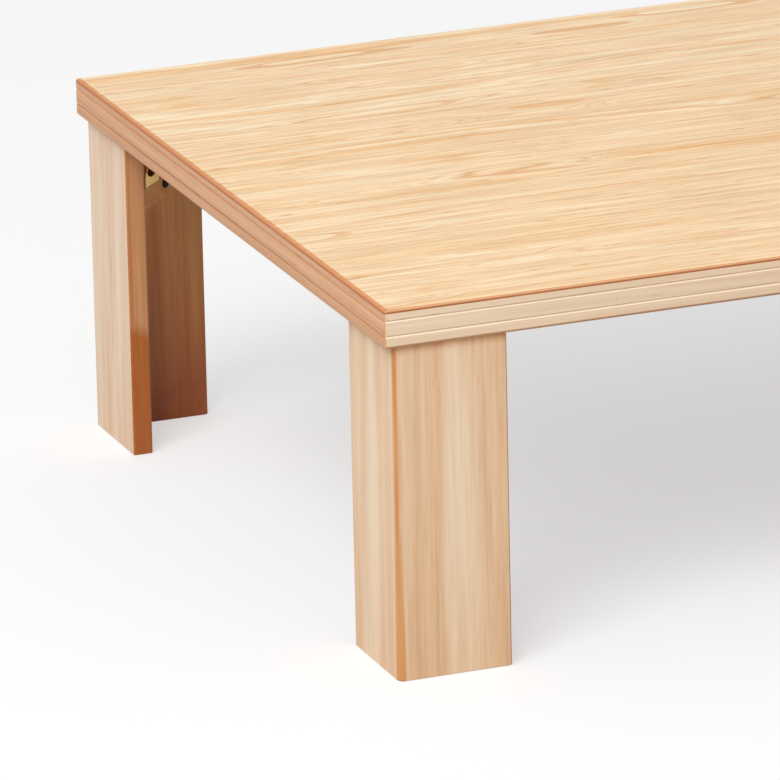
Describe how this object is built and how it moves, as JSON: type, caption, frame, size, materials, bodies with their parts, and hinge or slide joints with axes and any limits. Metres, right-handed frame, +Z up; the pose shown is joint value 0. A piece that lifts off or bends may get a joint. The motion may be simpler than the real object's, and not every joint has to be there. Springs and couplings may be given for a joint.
{
  "type": "folding low table",
  "caption": "Low rectangular floor table with a veneered top, grooved edge mouldings and L-shaped board legs that each fold under the top on a corner hinge.",
  "frame": {"origin": "on the floor under the middle of the top", "axes": "+X along the table, +Y from the front to the back, +Z up"},
  "size_m": [1.2, 0.75, 0.321],
  "materials": {
    "top_veneer": "satin lacquer",
    "edge_wood": "satin lacquer",
    "leg_wood": "satin lacquer",
    "block_wood": "oiled",
    "core_wood": "sawn",
    "underside_board": "printed board",
    "gold_zinc_steel": "yellow zinc plating",
    "spring_steel": "tempered",
    "bright_steel": "zinc plated",
    "black_steel": "black"
  },
  "bodies": {
    "table_top": {"top_panel": "top_veneer", "bottom_panel": "underside_board", "edge_front": "edge_wood", "edge_right": "edge_wood", "edge_back": "edge_wood", "edge_left": "edge_wood", "core_long_rails": "core_wood", "core_end_rails": "core_wood", "core_cross_rails": "core_wood", "hinge_backing_blocks": "core_wood", "hinge_base_screws": "bright_steel", "leaf_spring_rivets": "bright_steel", "hinge_base_front_left": "gold_zinc_steel", "leaf_spring_front_left": "spring_steel", "hinge_base_front_right": "gold_zinc_steel", "leaf_spring_front_right": "spring_steel", "hinge_base_back_right": "gold_zinc_steel", "leaf_spring_back_right": "spring_steel", "hinge_base_back_left": "gold_zinc_steel", "leaf_spring_back_left": "spring_steel"},
    "leg_front_left": {"end_board_front_left": "leg_wood", "side_board_front_left": "leg_wood", "corner_block_front_left": "block_wood", "yoke_front_left": "gold_zinc_steel", "pivot_pin_front_left": "bright_steel", "pivot_bush_front_left": "bright_steel", "yoke_screws_front_left": "gold_zinc_steel", "block_screws_front_left": "black_steel"},
    "leg_front_right": {"end_board_front_right": "leg_wood", "side_board_front_right": "leg_wood", "corner_block_front_right": "block_wood", "yoke_front_right": "gold_zinc_steel", "pivot_pin_front_right": "bright_steel", "pivot_bush_front_right": "bright_steel", "yoke_screws_front_right": "gold_zinc_steel", "block_screws_front_right": "black_steel"},
    "leg_back_right": {"end_board_back_right": "leg_wood", "side_board_back_right": "leg_wood", "corner_block_back_right": "block_wood", "yoke_back_right": "gold_zinc_steel", "pivot_pin_back_right": "bright_steel", "pivot_bush_back_right": "bright_steel", "yoke_screws_back_right": "gold_zinc_steel", "block_screws_back_right": "black_steel"},
    "leg_back_left": {"end_board_back_left": "leg_wood", "side_board_back_left": "leg_wood", "corner_block_back_left": "block_wood", "yoke_back_left": "gold_zinc_steel", "pivot_pin_back_left": "bright_steel", "pivot_bush_back_left": "bright_steel", "yoke_screws_back_left": "gold_zinc_steel", "block_screws_back_left": "black_steel"}
  },
  "joints": [
    {"name": "fold_front_left", "type": "hinge", "parent": "table_top", "child": "leg_front_left", "pos_m": [-0.53159, -0.31059, 0.275], "axis": [0.7071, -0.7071, 0], "range_deg": [0, 90], "deforming": ["leaf_spring_front_left"]},
    {"name": "fold_front_right", "type": "hinge", "parent": "table_top", "child": "leg_front_right", "pos_m": [0.53159, -0.31059, 0.275], "axis": [0.7071, 0.7071, 0], "range_deg": [0, 90], "deforming": ["leaf_spring_front_right"]},
    {"name": "fold_back_right", "type": "hinge", "parent": "table_top", "child": "leg_back_right", "pos_m": [0.53159, 0.31059, 0.275], "axis": [-0.7071, 0.7071, 0], "range_deg": [0, 90], "deforming": ["leaf_spring_back_right"]},
    {"name": "fold_back_left", "type": "hinge", "parent": "table_top", "child": "leg_back_left", "pos_m": [-0.53159, 0.31059, 0.275], "axis": [-0.7071, -0.7071, 0], "range_deg": [0, 90], "deforming": ["leaf_spring_back_left"]}
  ]
}
